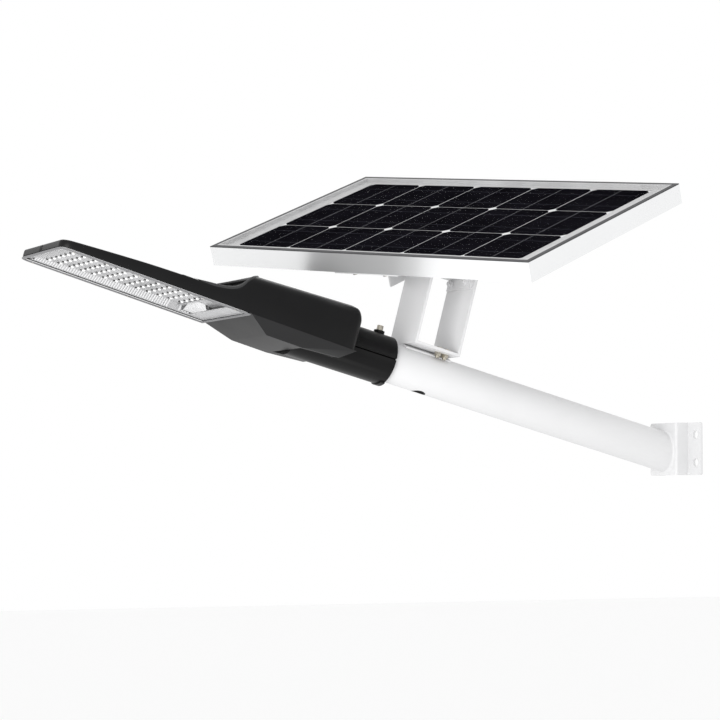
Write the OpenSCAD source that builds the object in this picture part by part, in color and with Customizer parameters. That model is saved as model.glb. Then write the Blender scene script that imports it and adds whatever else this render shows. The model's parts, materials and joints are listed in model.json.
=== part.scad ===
// Solar street lamp on a wall arm: wall bracket, tube arm, swivelling and tilting solar panel,
// and a lamp head that grips the tube with a split sleeve and rolls about it for levelling.
// Origin: centre of the wall bracket's wall face. +X points away from the wall, +Z is up.

/* [Wall bracket] */
// Width of the bracket across both flanges
bracket_w = 140; // [120:1:180]
// Height of the bracket
bracket_h = 80; // [74:1:110]
// Stand-off of the web from the wall
bracket_depth = 26; // [20:1:40]
// Width of the raised web
web_w = 72; // [66:1:80]
// Sheet thickness of the bracket
bracket_t = 4; // [3:0.5:6]
// Diameter of the four wall bolt holes
wall_hole_d = 13; // [9:0.5:14]
// Wall bolt spacing across the bracket
wall_bolts_y = 112; // [108:1:116]
// Wall bolt spacing up the bracket
wall_bolts_z = 42; // [36:1:50]

/* [Arm] */
// Outside diameter of the tube
tube_d = 60; // [59:0.5:61]
// Wall thickness of the tube
tube_wall = 3; // [2:0.5:4]
// Rise of the arm above the horizontal
arm_rise = 15; // [10:1:20]
// Distance from the wall to the tube's end, along the arm
arm_len = 645; // [640:1:650]
// Diameter of the cable hole in the tube's underside
cable_hole_d = 22; // [16:1:24]
// Place of the cable hole along the arm
cable_hole_s = 458; // [450:1:470]

/* [Panel stand] */
// Place of the stand's centre along the arm
stand_s = 463.6; // [455:0.1:470]
// Width of the stand's legs
stand_w = 84; // [80:1:86]
// Length of the stand's base along the arm
stand_l = 76; // [72:1:78]
// Height of the stand's legs
leg_h = 122; // [118:1:126]
// Sheet thickness of the stand
stand_t = 4; // [3:0.5:5]
// Height of the tilt axis above the tube's axis
pivot_h = 178.7; // [175:0.1:184]

/* [Panel] */
// Length of the panel
panel_l = 604; // [560:1:640]
// Width of the panel
panel_w = 365; // [340:1:380]
// Depth of the panel's frame
panel_d = 30; // [28:1:35]
// Swivel of the panel about the stand
panel_swivel = 23.2; // [-30:0.1:45]
// Tilt of the panel away from the stand's axis
panel_tilt = 36; // [5:0.5:45]
// Gap from the tilt axis to the back of the frame
pivot_gap = 33; // [32:0.5:36]
// Columns of cells
cell_cols = 5; // [3:1:6]
// Rows of cells
cell_rows = 3; // [2:1:4]

/* [Lamp head] */
// Length of the head's housing
head_l = 458; // [440:1:460]
// Width of the head's housing
head_w = 174; // [168:1:180]
// Upward kick of the housing against the arm
head_kick = 1.5; // [0:0.5:2]
// Outside diameter of the clamp sleeve
sleeve_d = 72; // [70:0.5:74]
// Rows of light emitters
led_rows = 13; // [8:1:13]
// Columns of light emitters
led_cols = 6; // [4:1:6]

/* [Hidden] */
$fn = 64;
cut = 1; // how far a cutting body runs past what it cuts
far = 80; // reach of a cutting body that clears everything
run_gap = 0.05;
end_gap = 0.3;

// wall bracket and arm
tube_r = tube_d / 2;
arm_drop = 4;
arm_z0 = -arm_drop - bracket_depth * tan(arm_rise);
fold_r = 4;
weld_r = 3.2;
weld_out = 0.8;
grommet_wall = 2.5;
grommet_proud = 1.5;

// panel stand
saddle_t = 2;
saddle_half = 17;
stand_z = tube_r + saddle_t;
stand_top = stand_z + leg_h;
plate_t = 4;
saddle_bolt_s = [-23, -11];
saddle_bolt_y = 23.5;
saddle_bolt_len = 12;
slot_s = 10;
slot_y = 36;
slot_l = 10;
slot_w = 5;
m6_r = 3;
m6_hex_r = 5.5;
m6_head_h = 4;
m6_nut_h = 5;
m6_gap = 0.3;
plate_lip_h = 18;
plate_screw_y = 24;
plate_screw_drop = 8;

// swivel and tilt
swivel_r = 6;
swivel_flange_r = 12;
swivel_bolt_up = 19;
swivel_hex_r = 10.5;
swivel_nut_h = 8;
washer_t = 2;
cradle_z = stand_top + plate_t + end_gap;
cradle_half = 56;
cradle_w = 46;
ear_t = 3;
bracket_half = 60;
tilt_r = 5;
tilt_hex_r = 9;
tilt_head_h = 6;
tilt_nut_h = 8;
tilt_washer_r = 10;
lock_r = 17;
tilt_down = 34;
tilt_up = 8;

// panel, measured from the tilt axis along its own normal
back_z = pivot_gap;
front_z = back_z + panel_d;
rail_t = 1.8;
rail_edge = 0.5;
lip_w = 11;
ledge_w = 8;
flange_w = 24;
glass_t = 3.2;
cell_t = 0.5;
sheet_t = 1;
glass_top = front_z - rail_t;
glass_z = glass_top - glass_t;
sheet_z = glass_z - cell_t - sheet_t;
glass_inset = rail_t + 0.4;
cell_pitch = 110.5;
cell_gap = 2;
cell_block_l = 538.5;
cell_block_w = 320.7;
cell_notch = 6.5;
key_l = 30;
key_t = 4;
key_h = 12;
strap_margin = 4;
lock_ear_w = 138;
lock_ear_low = 27.5;
free_ear_r = 24;
m5_r = 2.5;
m5_hex_r = 4.6;
m5_head_h = 3.5;
m5_gap = 0.2;
bracket_bolt_a = 28.5;
bracket_bolt_b = panel_w / 2 - 14;

// junction box on the panel's back
jbox_a = 125;
jbox_b = 70;
jbox_l = 86;
jbox_w = 62;
jbox_h = 22;
jbox_wall = 3;
jbox_lid_t = 4;
gland_a = 22;
gland_z = 13;
gland_bore_r = 3;
gland_r = 5;
gland_hex_r = 7.5;
jbox_rib_h = 1;

// lamp head, measured from the head's datum on the arm: u along it, w square to it
head_s = 600;
head_u0 = 8;
head_u1 = head_u0 + head_l;
part_w = -16;
head_hw = head_w / 2;
head_corner_r = 14;
wall = 2.5;
crown_top = 57.5;
crown_fall = 3.1;
crown_r = 260;
rear_l = 18; // length and height of the rounded rear corner
rear_h = 12;
nose = 3;
blade_front = -6;
blade_mid_u = 355;
blade_mid = 1.2;
blade_rear = 3.8;
bowl_u = 290;
bowl_floor = 3.5;
bowl_floor_r = 94;
bowl_sweep_r = 36;
screw_boss_r = 4.5;
m3_r = 1.7;
m3_head_r = 3.4;
m3_gap = 0.1;

// lower cover
cover_u1 = 177;
cover_flat_u0 = 80;
cover_flat_u1 = 137;
cover_flat_hw = 62;
cover_bottom = -33;
cover_rear_w = -28;
cover_rear_du = 12;
recess_w = -25;
recess_y = [-40, 57];
hook_y = 82;
cover_screw_y = -74;
cover_screw_u = [46, 128];
cover_screw_len = 14;

// clamp sleeve, measured along the arm
sleeve_r = sleeve_d / 2;
sleeve_s0 = 521;
sleeve_s1 = 640;
sleeve_low_s1 = head_s + cover_flat_u0 - 2;
split_half = 1.2;
lip_l = 7;
lip_hw = 15;
lip_out = 2;
set_bolt_s = 542;
set_boss_r = 8;
set_boss_top = 40;
set_r = 4;
set_head_r = 4.75;
set_top = 47.6;
clamp_screw_s = 632;
clamp_screw_y = 33.2;
clamp_screw_r = 1.6;
clamp_head_r = 2.4;
clamp_head_z = -8;
clamp_head_h = 2;
clamp_screw_len = 22;

// light tray
tray_u0 = 186;
tray_u1 = head_u1 - 9;
tray_hw = head_hw - 8;
tray_rear = 40;
tray_front = 8;
tray_side = 24;
led_u1 = 437; // front row of emitters
led_pitch_u = 17;
led_pitch_y = 19.2;
led_w = part_w + 2.8;
board_tilt = 1.8;
board_t = 1.6;
dome_r = 4;
dome_h = 1.5;
rib_pitch = 3.8;
rib_w = 2;
rib_l = 18;
lens_u0 = cover_u1 + 1;
lens_t = 2;
lens_w = part_w - 1.2;
lens_corner_r = 12;
rim_w = 3.5;
rim_t = 1.8;
lens_screw_u = lens_u0 + 23;
lens_screw_pitch = 49;
lens_screw_count = 6;

// battery and controller
cell_r = 13;
cell_l = 65.5;
battery_u = 70;
battery_pitch = 34;
battery_w = 18;
battery_y = 36;
holder_low = 2;
holder_high = 12;
holder_hw = battery_y + cell_l / 2;
controller_u = [88, 134];
controller_hw = 40;
controller_w = -29;
block_u = 4;
block_l = 12;
block_h = 9;
capacitor_u = 38;
capacitor_r = 4;

// ---------- frames ----------
// x runs out along the arm, z square to it and up
module arm_frame() translate([0, 0, arm_z0]) rotate([0, -arm_rise, 0]) children();
module head_frame() arm_frame() translate([head_s, 0, 0]) rotate([0, -head_kick, 0]) children();
module stand_frame() arm_frame() translate([stand_s, 0, 0]) children();
// x runs along the panel's long side, z is the swivel axis
module swivel_frame() stand_frame() rotate([0, 0, 90 + panel_swivel]) children();
// z is the panel's normal, origin on the tilt axis
module panel_frame() swivel_frame() translate([0, 0, pivot_h]) rotate([panel_tilt, 0, 0]) children();

// ---------- helpers ----------
function arc(cx, cy, r, a0, a1, n) = [for (i = [0:n]) let (a = a0 + (a1 - a0) * i / n)
    [cx + r * cos(a), cy + r * sin(a)]];
function inner(points) = [for (i = [1:len(points) - 2]) points[i]];
module box(x0, x1, y0, y1, z0, z1) translate([x0, y0, z0]) cube([x1 - x0, y1 - y0, z1 - z0]);
module slab(l, w, z0, z1) box(-l / 2, l / 2, -w / 2, w / 2, z0, z1);
module along_x() rotate([0, 90, 0]) children();
// rod along x, from x0 to x1
module rod_x(r, x0, x1) translate([x0, 0, 0]) along_x() cylinder(r = r, h = x1 - x0);
// hexagon prism with its corners turned off at the top
module hex(r, h) intersection() {
    cylinder(r = r, h = h, $fn = 6);
    union() {
        cylinder(r = r + cut, h = h - r / 8);
        translate([0, 0, h - r / 8]) cylinder(r1 = r, r2 = r * 0.86, h = r / 8);
    }
}
// hexagon bolt, head above z = 0 and shank below
module hex_bolt(r, len, hex_r, head_h) {
    hex(hex_r, head_h);
    translate([0, 0, -len]) cylinder(r = r, h = len + head_h / 2);
}
module hex_nut(r, hex_r, h) difference() {
    hex(hex_r, h);
    translate([0, 0, -cut]) cylinder(r = r, h = h + 2 * cut);
}
// plate with round corners, in the x-y plane
module round_plate(l, w, t, r) {
    slab(l - 2 * r, w, 0, t);
    slab(l, w - 2 * r, 0, t);
    for (x = [-1, 1], y = [-1, 1]) translate([x * (l / 2 - r), y * (w / 2 - r), 0])
        cylinder(r = r, h = t);
}

// ---------- wall bracket and arm ----------
module hat(depth, web, h) linear_extrude(h, center = true) polygon(concat(
    [[0, -web / 2]],
    arc(depth - fold_r, -web / 2 + fold_r, fold_r, -90, 0, 8),
    arc(depth - fold_r, web / 2 - fold_r, fold_r, 0, 90, 8),
    [[0, web / 2]]));

module wall_bracket() color("white") difference() {
    union() {
        hat(bracket_depth, web_w, bracket_h);
        along_x() round_plate(bracket_h, bracket_w, bracket_t, fold_r);
    }
    translate([-bracket_t, 0, 0]) hat(bracket_depth, web_w - 2 * bracket_t, bracket_h + 2 * cut);
    for (y = [-1, 1], z = [-1, 1]) translate([0, y * wall_bolts_y / 2, z * wall_bolts_z / 2])
        rod_x(wall_hole_d / 2, -cut, bracket_t + cut);
}

module behind_web() box(-far, bracket_depth, -far, far, -far, far);

module arm_tube() color("white") difference() {
    arm_frame() rod_x(tube_r, 0, arm_len);
    arm_frame() rod_x(tube_r - tube_wall, -cut, arm_len + cut);
    behind_web();
    arm_frame() translate([cable_hole_s, 0, -tube_r - cut]) cylinder(d = cable_hole_d, h = tube_r);
}

module arm_weld() color("white") difference() {
    translate([bracket_depth, 0, -arm_drop]) along_x()
        rotate_extrude() translate([tube_r + weld_out, 0]) circle(r = weld_r, $fn = 24);
    arm_frame() rod_x(tube_r, 0, far);
    behind_web();
}

module cable_grommet() color("black") arm_frame() translate([cable_hole_s, 0, 0]) intersection() {
    translate([0, 0, -tube_r - saddle_t]) difference() {
        cylinder(d = cable_hole_d, h = cable_hole_d / 2);
        translate([0, 0, -cut]) cylinder(d = cable_hole_d - 2 * grommet_wall, h = cable_hole_d);
    }
    difference() {
        rod_x(tube_r, -tube_r, tube_r);
        rod_x(tube_r - tube_wall - grommet_proud, -far, far);
    }
}

// ---------- panel stand ----------
module saddle_shoe() color("white") stand_frame() intersection() {
    difference() {
        rod_x(stand_z, -stand_l / 2, stand_l / 2);
        rod_x(tube_r, -stand_l, stand_l);
    }
    box(-stand_l, stand_l, -saddle_half, saddle_half, tube_r - 2 * saddle_half / 3, stand_z);
}

module saddle_bolt_places() for (x = saddle_bolt_s, y = [-1, 1])
    translate([x, y * saddle_bolt_y, stand_z]) children();
module plate_screw_holes() for (y = [-1, 1])
    translate([0, y * plate_screw_y, stand_top - plate_screw_drop]) rod_x(m6_r + m6_gap, -stand_l, stand_l);

module panel_stand() color("white") stand_frame() difference() {
    translate([0, 0, stand_z]) {
        slab(stand_l, stand_w, 0, stand_t);
        for (x = [-1, 1]) translate([x * (stand_l - stand_t) / 2, 0, 0]) slab(stand_t, stand_w, 0, leg_h);
    }
    translate([0, 0, -cut]) saddle_bolt_places() cylinder(r = m6_r + m6_gap, h = stand_t + 2 * cut);
    translate([slot_s, slot_y, stand_z]) slab(slot_l, slot_w, -cut, stand_t + cut);
    plate_screw_holes();
}

module saddle_bolts() color("silver") stand_frame() translate([0, 0, stand_t])
    saddle_bolt_places() hex_bolt(m6_r, saddle_bolt_len, m6_hex_r, m6_head_h);

module saddle_nuts() color("silver") stand_frame()
    saddle_bolt_places() mirror([0, 0, 1]) hex_nut(m6_r, m6_hex_r, m6_nut_h);

module swivel_plate() color("white") stand_frame() difference() {
    union() {
        slab(stand_l, stand_w, stand_top, stand_top + plate_t);
        for (x = [-1, 1]) translate([x * (stand_l / 2 - stand_t * 1.5), 0, 0])
            slab(stand_t, stand_w - 2 * m6_hex_r, stand_top - plate_lip_h, stand_top);
    }
    translate([0, 0, stand_top - cut]) cylinder(r = swivel_r, h = plate_t + 2 * cut);
    plate_screw_holes();
}

module swivel_plate_screws() color("silver") stand_frame() for (x = [-1, 1], y = [-1, 1])
    translate([x * stand_l / 2, y * plate_screw_y, stand_top - plate_screw_drop]) rotate([0, x * 90, 0]) {
        hex_bolt(m6_r, 2 * stand_t + m6_nut_h + 2, m6_hex_r, m6_head_h);
        translate([0, 0, -2 * stand_t]) mirror([0, 0, 1]) hex(m6_hex_r, m6_nut_h);
    }

// flanged bolt standing up from the swivel plate, fixed to it
module swivel_bolt() color("silver") stand_frame() translate([0, 0, stand_top]) {
    translate([0, 0, -m6_nut_h]) cylinder(r = swivel_flange_r, h = m6_nut_h);
    translate([0, 0, -cut]) cylinder(r = swivel_r, h = plate_t + swivel_bolt_up);
}

module swivel_nut() color("silver") stand_frame() translate([0, 0, cradle_z + ear_t + end_gap])
    difference() {
        union() {
            cylinder(r = swivel_hex_r + washer_t, h = washer_t);
            translate([0, 0, washer_t]) hex(swivel_hex_r, swivel_nut_h);
        }
        translate([0, 0, -cut]) cylinder(r = swivel_r, h = washer_t + swivel_nut_h + 2 * cut);
    }

// ---------- swivel cradle ----------
module on_tilt_axis() swivel_frame() translate([0, 0, pivot_h]) children();

module cradle_ear() difference() {
    union() {
        box(0, ear_t, -cradle_w / 2, cradle_w / 2, cradle_z - pivot_h, 0);
        intersection() {
            rod_x(cradle_w / 2, 0, ear_t);
            box(0, ear_t, -far, far, cradle_z - pivot_h, far);
        }
    }
    rod_x(tilt_r, -cut, ear_t + cut);
}

module tilt_cradle() color("white") difference() {
    union() {
        swivel_frame() slab(2 * cradle_half, cradle_w, cradle_z, cradle_z + ear_t);
        on_tilt_axis() for (x = [-cradle_half, cradle_half - ear_t]) translate([x, 0, 0]) cradle_ear();
    }
    swivel_frame() translate([0, 0, cradle_z - cut])
        cylinder(r = swivel_r + run_gap, h = ear_t + 2 * cut);
    on_tilt_axis() translate([0, 0, lock_r])
        rod_x(m6_r, -cradle_half - cut, -cradle_half + ear_t + cut);
}

// shoulder bolts, one for each pair of ears, heads outside
module tilt_bolts() color("silver") on_tilt_axis() for (x = [-1, 1]) rotate([0, x * 90, 0]) {
    translate([0, 0, bracket_half + end_gap]) {
        cylinder(r = tilt_washer_r, h = washer_t);
        translate([0, 0, washer_t]) hex(tilt_hex_r, tilt_head_h);
    }
    translate([0, 0, cradle_half - ear_t - tilt_nut_h - 2 * washer_t])
        cylinder(r = tilt_r, h = bracket_half - cradle_half + ear_t + tilt_nut_h + 3 * washer_t);
}

module tilt_nuts() color("silver") on_tilt_axis() for (x = [-1, 1]) rotate([0, x * 90, 0])
    translate([0, 0, cradle_half - ear_t]) mirror([0, 0, 1]) difference() {
        union() {
            cylinder(r = tilt_washer_r, h = washer_t);
            translate([0, 0, washer_t]) hex(tilt_hex_r, tilt_nut_h - washer_t);
        }
        translate([0, 0, -cut]) cylinder(r = tilt_r, h = tilt_nut_h + 2 * cut);
    }

// bolt that locks the tilt, in the slot of the square ear
module tilt_lock_bolt() color("silver") on_tilt_axis() translate([0, 0, lock_r]) {
    translate([-bracket_half - end_gap, 0, 0]) rotate([0, -90, 0]) {
        hex(m6_hex_r, m6_head_h);
        translate([0, 0, ear_t + end_gap - bracket_half + cradle_half - m6_nut_h - 2 * ear_t])
            cylinder(r = m6_r, h = m6_nut_h + 3 * ear_t);
    }
    translate([-cradle_half + ear_t, 0, 0]) along_x() hex(m6_hex_r, m6_nut_h);
}

// ---------- solar panel ----------
module bracket_bolt_places() for (a = [-1, 1], b = [-1, 1])
    translate([a * bracket_bolt_a, b * bracket_bolt_b, 0]) children();

// slot that the lock bolt runs in, in the plane across the tilt axis
module lock_slot() {
    a0 = 90 - panel_tilt - tilt_up;
    a1 = 90 - panel_tilt + tilt_down;
    r = m6_r + m6_gap;
    polygon(concat(
        arc(0, 0, lock_r + r, a0, a1, 16),
        inner(arc(lock_r * cos(a1), lock_r * sin(a1), r, a1, a1 + 180, 8)),
        arc(0, 0, lock_r - r, a1, a0, 16),
        inner(arc(lock_r * cos(a0), lock_r * sin(a0), r, a0 - 180, a0, 8))));
}

// a strap across the frame's back with two ears folded down at its middle
module panel_bracket() color("white") panel_frame() difference() {
    union() {
        slab(2 * bracket_half, panel_w - 2 * strap_margin, back_z - ear_t, back_z);
        box(-bracket_half, -bracket_half + ear_t, -lock_ear_w / 2, lock_ear_w / 2,
            -lock_ear_low, back_z - ear_t / 2);
        box(bracket_half - ear_t, bracket_half, -free_ear_r, free_ear_r, 0, back_z - ear_t / 2);
        rod_x(free_ear_r, bracket_half - ear_t, bracket_half);
    }
    rod_x(tilt_r + run_gap, -far, far);
    translate([-bracket_half - cut, 0, 0]) rotate([90, 0, 90]) linear_extrude(ear_t + 2 * cut) lock_slot();
    translate([0, 0, back_z - ear_t - cut]) bracket_bolt_places()
        cylinder(r = m5_r + m5_gap, h = ear_t + 2 * cut);
}

module bracket_bolts() color("silver") panel_frame() bracket_bolt_places() {
    translate([0, 0, back_z - ear_t]) mirror([0, 0, 1]) hex(m5_hex_r, m5_head_h);
    translate([0, 0, back_z - ear_t - cut]) cylinder(r = m5_r, h = ear_t + rail_t + 2 * m5_head_h);
    translate([0, 0, back_z + rail_t]) hex(m5_hex_r, m5_head_h);
}

// rail section, x inward from the outer face and y up from the back
module rail_section() {
    ledge = sheet_z - back_z;
    polygon([[0, 0], [flange_w, 0], [flange_w, rail_t], [rail_t, rail_t],
        [rail_t, ledge - rail_t], [ledge_w, ledge - rail_t], [ledge_w, ledge], [rail_t, ledge],
        [rail_t, panel_d - rail_t], [lip_w, panel_d - rail_t], [lip_w, panel_d - rail_edge],
        [lip_w - rail_edge, panel_d], [rail_edge, panel_d], [0, panel_d - rail_edge]]);
}

// one mitred rail on the -y side of a rectangle l by w
module frame_rail(l, w) color("gainsboro") translate([0, 0, back_z]) difference() {
    translate([-l / 2, -w / 2, 0]) rotate([90, 0, 90]) linear_extrude(l) rail_section();
    for (x = [-1, 1]) translate([x * l / 2, -w / 2, -cut]) rotate([0, 0, 90 - x * 45])
        box(0, far, -far, far, 0, panel_d + 2 * cut);
}
module long_rail() difference() {
    frame_rail(panel_l, panel_w);
    for (x = [-1, 1]) translate([x * bracket_bolt_a, -bracket_bolt_b, back_z - cut])
        cylinder(r = m5_r + m5_gap, h = rail_t + 2 * cut);
}
module frame_rail_front() panel_frame() long_rail();
module frame_rail_back() panel_frame() rotate([0, 0, 180]) long_rail();
module frame_rail_left() panel_frame() rotate([0, 0, -90]) frame_rail(panel_w, panel_l);
module frame_rail_right() panel_frame() rotate([0, 0, 90]) frame_rail(panel_w, panel_l);

// L-shaped keys pressed into the corners of the rails
module corner_keys() color("dimgray") panel_frame() for (x = [0, 1], y = [0, 1])
    mirror([x, 0, 0]) mirror([0, y, 0])
        translate([panel_l / 2 - rail_t, panel_w / 2 - rail_t, back_z + rail_t]) {
            box(-key_l, 0, -key_t, 0, 0, key_h);
            box(-key_t, 0, -key_l, 0, 0, key_h);
        }

module panel_sheet(z0, z1) panel_frame()
    slab(panel_l - 2 * glass_inset, panel_w - 2 * glass_inset, z0, z1);
module panel_glass() color([0.1, 0.12, 0.2, 0.5]) panel_sheet(glass_z, glass_top);
module backsheet() color("white") panel_sheet(sheet_z, sheet_z + sheet_t);

function cell_edges(n, block, pitch) = [for (i = [0:n]) i == 0 ? -block / 2 : i == n ? block / 2 :
    (i - n / 2) * pitch];
module notched_cell(x0, x1, y0, y1) polygon([[x0 + cell_notch, y0], [x1 - cell_notch, y0],
    [x1, y0 + cell_notch], [x1, y1 - cell_notch], [x1 - cell_notch, y1], [x0 + cell_notch, y1],
    [x0, y1 - cell_notch], [x0, y0 + cell_notch]]);
module solar_cells() color([0.03, 0.04, 0.1]) panel_frame() {
    xs = cell_edges(cell_cols, cell_block_l, cell_pitch);
    ys = cell_edges(cell_rows, cell_block_w, cell_pitch);
    g = cell_gap / 2;
    for (i = [0:cell_cols - 1], j = [0:cell_rows - 1]) translate([0, 0, glass_z - cell_t])
        linear_extrude(cell_t) notched_cell(xs[i] + g, xs[i + 1] - g, ys[j] + g, ys[j + 1] - g);
}

module at_junction_box() panel_frame() translate([jbox_a, jbox_b, sheet_z - jbox_h]) children();
module junction_box() color("black") at_junction_box() difference() {
    slab(jbox_l, jbox_w, jbox_lid_t, jbox_h);
    slab(jbox_l - 2 * jbox_wall, jbox_w - 2 * jbox_wall, 0, jbox_h - jbox_wall);
    for (x = [-1, 1]) translate([x * gland_a, -jbox_w / 2 + 2 * jbox_wall, gland_z]) rotate([90, 0, 0])
        cylinder(r = gland_r, h = 3 * jbox_wall);
}
module junction_box_lid() color("black") at_junction_box() {
    slab(jbox_l + jbox_lid_t, jbox_w + jbox_lid_t, 0, jbox_lid_t);
    for (x = [-1, 0, 1]) translate([x * jbox_l / 3, 0, 0])
        slab(jbox_wall, jbox_w - 2 * jbox_lid_t, -jbox_rib_h, 0);
}
module junction_box_glands() color("black") at_junction_box() for (x = [-1, 1])
    translate([x * gland_a, -jbox_w / 2, gland_z]) rotate([90, 0, 0]) difference() {
        union() {
            translate([0, 0, -jbox_wall]) cylinder(r = gland_r - 2 * run_gap, h = 2 * jbox_wall);
            hex(gland_hex_r, 2 * jbox_wall);
            translate([0, 0, 2 * jbox_wall])
                cylinder(r1 = gland_r + 1, r2 = gland_r - 0.5, h = 3 * jbox_wall);
        }
        translate([0, 0, -far / 2]) cylinder(r = gland_bore_r, h = far);
    }

// ---------- lamp head ----------
// side view of the housing, drawn in by grow for the hollow
module head_side(grow) polygon([[head_u0 + grow, part_w - grow], [head_u1 - grow, part_w - grow],
    [head_u1 - grow, blade_front - nose - grow], [head_u1 - nose - grow, blade_front - grow],
    [blade_mid_u, blade_mid - grow], [bowl_u, blade_rear - grow], [bowl_u, crown_top],
    [head_u0 + rear_l, crown_top - grow],
    [head_u0 + rear_l / 4 + grow, crown_top - 0.4 * rear_h - grow],
    [head_u0 + grow, crown_top - rear_h - grow]]);

// gently crowned top of the deep rear part
module crown(grow) translate([0, 0, crown_top - crown_r]) rotate([0, crown_fall, 0])
    rod_x(crown_r - grow, -far, head_u1 + far);

// concave round dish between the thin blade and the deep rear
module bowl(grow) translate([bowl_u, 0, bowl_floor - grow]) rotate_extrude($fn = 96) polygon(concat(
    [[0, 0]], arc(bowl_floor_r + grow, bowl_sweep_r, bowl_sweep_r, -90, 0, 10),
    [[bowl_floor_r + bowl_sweep_r + grow, far], [0, far]]));

module head_plan(u0, u1, hw, r, w0, w1) translate([(u0 + u1) / 2, 0, w0])
    round_plate(u1 - u0, 2 * hw, w1 - w0, r);

module head_shell(grow) difference() {
    intersection() {
        rotate([90, 0, 0]) linear_extrude(head_w + 2 * cut, center = true) head_side(grow);
        head_plan(head_u0 + grow, head_u1 - grow, head_hw - grow, head_corner_r - grow,
            part_w - 2 * wall, far);
        crown(grow);
    }
    bowl(grow);
}

module cover_screw_places() for (u = cover_screw_u) translate([u, cover_screw_y, part_w]) children();
module in_sleeve(s1) arm_frame() rod_x(sleeve_r, sleeve_s0, s1);

module upper_housing() color([0.13, 0.13, 0.13]) difference() {
    head_frame() difference() {
        head_shell(0);
        difference() {
            head_shell(wall);
            cover_screw_places() cylinder(r = screw_boss_r, h = far);
        }
        box(0, head_u1 + far, -far - far, far + far, part_w - far, part_w);
        cover_screw_places() translate([0, 0, -cut]) cylinder(r = m3_r, h = cover_screw_len);
    }
    in_sleeve(head_s + far);
}

function lower(p, grow) = [p[0] + (p[0] < cover_flat_u0 ? grow : -grow), p[1] + grow];
module cover_solid(grow) polyhedron(
    points = concat(
        [for (u = [head_u0 + grow, cover_u1 - grow], y = [-1, 1]) [u, y * (head_hw - grow), part_w]],
        [for (p = [[head_u0 + cover_rear_du, cover_rear_w], [cover_flat_u0, cover_bottom],
            [cover_flat_u1, cover_bottom]], y = [-1, 1])
            [lower(p, grow)[0], y * (cover_flat_hw - grow), lower(p, grow)[1]]]),
    faces = [[0, 1, 3, 2], [0, 4, 5, 1], [4, 6, 7, 5], [6, 8, 9, 7], [8, 2, 3, 9],
        [0, 2, 8], [0, 8, 6], [0, 6, 4], [1, 9, 3], [1, 7, 9], [1, 5, 7]]);

// recess under the rear of the cover, where the lower sleeve half lies
module recess(grow)
    box(-far, cover_flat_u0 + grow, recess_y[0] - grow, recess_y[1] + grow, -far, recess_w + grow);

module lower_cover() color([0.2, 0.2, 0.2]) difference() {
    head_frame() {
        difference() {
            cover_solid(0);
            recess(0);
            difference() {
                translate([0, 0, run_gap]) cover_solid(wall);
                recess(wall);
            }
            cover_screw_places() {
                translate([0, 0, -far]) cylinder(r = m3_r + m3_gap, h = far + cut);
                translate([0, 0, -far - m3_head_r]) cylinder(r = m3_head_r + m3_gap, h = far);
            }
        }
        for (u = cover_screw_u) difference() {
            box(u, u + key_l / 2, hook_y - wall / 2, hook_y + wall / 2, part_w - wall, part_w + 3 * wall);
            box(0, u - cut, 0, far, -far, part_w);
        }
    }
    in_sleeve(head_s + cover_flat_u0);
}

module cover_gasket() color("black") difference() {
    head_frame() difference() {
        head_plan(head_u0 + 2 * wall, cover_u1 - wall, hook_y - wall, head_corner_r - wall,
            part_w, part_w + wall / 2);
        head_plan(head_u0 + 4 * wall, cover_u1 - 3 * wall, hook_y - 3 * wall, head_corner_r - 2 * wall,
            part_w - cut, part_w + wall);
        cover_screw_places() translate([0, 0, -cut]) cylinder(r = screw_boss_r, h = 3 * wall);
    }
    in_sleeve(head_s + far);
}

module cover_screws() color("black") head_frame() cover_screw_places() {
    translate([0, 0, -m3_head_r]) mirror([0, 0, 1]) cylinder(r = m3_head_r, h = wall);
    translate([0, 0, -m3_head_r - cut]) cylinder(r = m3_r, h = cover_screw_len);
}

// half of the split sleeve: side 1 is the upper half, -1 the lower
module half_sleeve(side, s1) difference() {
    rod_x(sleeve_r, sleeve_s0, s1);
    rod_x(tube_r + run_gap, 0, arm_len + run_gap);
    rod_x(tube_r - tube_wall, 0, 2 * s1);
    mirror([0, 0, side > 0 ? 0 : 1]) box(0, 2 * s1, -far, far, -far, split_half);
}
module clamp_screw_places() for (y = [-1, 1]) translate([clamp_screw_s, y * clamp_screw_y, 0]) children();

module clamp_upper() color("black") arm_frame() difference() {
    union() {
        half_sleeve(1, sleeve_s1);
        translate([set_bolt_s, 0, tube_r + saddle_t]) cylinder(r = set_boss_r, h = set_boss_top - stand_z);
    }
    translate([set_bolt_s, 0, 0]) cylinder(r = set_r, h = far);
    clamp_screw_places() cylinder(r = clamp_screw_r + run_gap, h = far);
}

module clamp_lower() color("black") arm_frame() difference() {
    union() {
        half_sleeve(-1, sleeve_low_s1);
        intersection() {
            difference() {
                rod_x(sleeve_r + lip_out, sleeve_s0, sleeve_s0 + lip_l);
                rod_x(tube_r + run_gap, 0, arm_len);
            }
            box(0, far + sleeve_s0, -lip_hw, lip_hw, -far, 0);
        }
    }
    clamp_screw_places() {
        translate([0, 0, -far]) cylinder(r = clamp_screw_r + run_gap, h = far);
        translate([0, 0, clamp_head_z - far]) cylinder(r = clamp_head_r + run_gap, h = far);
    }
}

module clamp_set_bolt() color("silver") arm_frame() translate([set_bolt_s, 0, 0]) difference() {
    union() {
        translate([0, 0, tube_r + run_gap]) cylinder(r = set_r - run_gap, h = set_boss_top - tube_r);
        translate([0, 0, set_boss_top]) cylinder(r = set_head_r, h = set_top - set_boss_top);
    }
    translate([0, 0, set_top - set_r]) cylinder(r = set_r * 0.7, h = set_r + cut, $fn = 6);
}

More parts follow.
